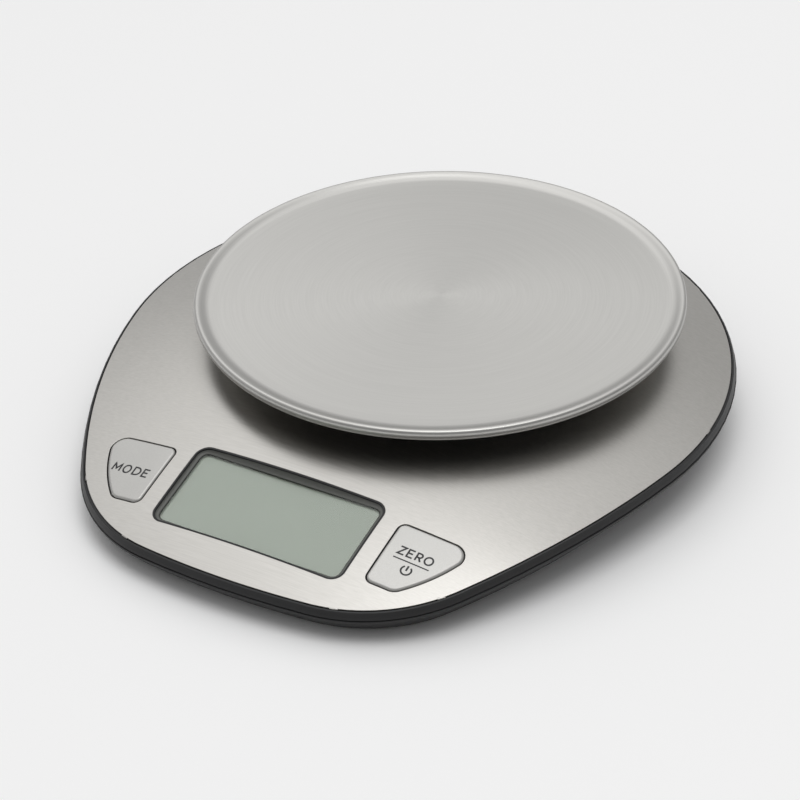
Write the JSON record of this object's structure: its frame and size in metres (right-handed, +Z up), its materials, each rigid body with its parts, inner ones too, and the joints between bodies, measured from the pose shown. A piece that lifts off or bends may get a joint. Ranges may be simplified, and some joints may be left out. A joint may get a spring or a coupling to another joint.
{
  "type": "digital kitchen scale",
  "caption": "Round steel weighing platter on a domed egg-shaped body with a brushed steel cover, black rim, sloping display and a key at each side.",
  "frame": {"origin": "on the table, under the middle of the body's length and width", "axes": "+X to the right seen from the display, +Y to the rear, +Z up; the display and keys face -Y"},
  "size_m": [0.2036, 0.2247, 0.0374],
  "materials": {
    "cover_steel": "brushed left to right",
    "shell_plastic": "fine satin moulding",
    "platter_steel": "turned satin",
    "key_plastic": "silver satin paint",
    "support_plastic": "moulded",
    "screw_steel": "zinc plated",
    "bar_aluminium": "sawn and milled",
    "sealant": "white silicone",
    "lead_grey": "PVC sheath",
    "lead_red": "PVC sheath",
    "lead_black": "PVC sheath",
    "board_green": "solder mask on glass fibre",
    "chip_resin": "black resin drop",
    "clear_pane": "clear acrylic",
    "lcd": "grey-green liquid crystal display",
    "frame_plastic": "moulded",
    "strip_rubber": "silicone with carbon layers",
    "switch_steel": "tinned steel",
    "pin_plastic": "moulded",
    "cell_jacket": "printed film, left plain",
    "contact_nickel": "nickel plated",
    "foot_rubber": "soft rubber"
  },
  "bodies": {
    "housing": {"top_cover": "cover_steel", "upper_housing": "shell_plastic", "lower_housing": "shell_plastic", "load_cell": "bar_aluminium", "gauge_coating": "sealant", "cell_screws": "screw_steel", "cell_lead": "lead_grey", "main_board": "board_green", "board_chip": "chip_resin", "board_screws": "screw_steel", "display_pane": "clear_pane", "display_glass": "lcd", "display_frame": "frame_plastic", "contact_strip": "strip_rubber", "tact_switches": "switch_steel", "batteries": "cell_jacket", "battery_contacts": "contact_nickel", "battery_springs": "contact_nickel", "battery_lead_red": "lead_red", "battery_lead_black": "lead_black", "rubber_feet": "foot_rubber", "housing_screws": "screw_steel"},
    "weigh_frame": {"platter_support": "support_plastic", "support_spacer": "switch_steel", "support_screws": "screw_steel"},
    "platter": {"weighing_platter": "platter_steel", "platter_hub": "support_plastic"},
    "mode_key": {"mode_button": "key_plastic", "mode_switch_pin": "pin_plastic"},
    "zero_key": {"zero_button": "key_plastic", "zero_switch_pin": "pin_plastic"},
    "door": {"battery_door": "shell_plastic"}
  },
  "joints": [
    {"name": "weigh_travel", "type": "slide", "parent": "housing", "child": "weigh_frame", "axis": [0, 0, 1], "range_m": [-0.0004, 0], "stiffness_N_per_m": 120000, "deforming": ["load_cell"]},
    {"name": "platter_lift", "type": "slide", "parent": "weigh_frame", "child": "platter", "axis": [0, 0, 1], "range_m": [0, 0.03]},
    {"name": "mode_press", "type": "slide", "parent": "housing", "child": "mode_key", "axis": [0, -0.25, 0.9682], "range_m": [-0.0005, 0], "stiffness_N_per_m": 3200},
    {"name": "zero_press", "type": "slide", "parent": "housing", "child": "zero_key", "axis": [0, -0.25, 0.9682], "range_m": [-0.0005, 0], "stiffness_N_per_m": 3200},
    {"name": "door_tilt", "type": "hinge", "parent": "housing", "child": "door", "pos_m": [0, -0.0108, 0.0015], "axis": [1, 0, 0], "range_deg": [0, 75]}
  ]
}
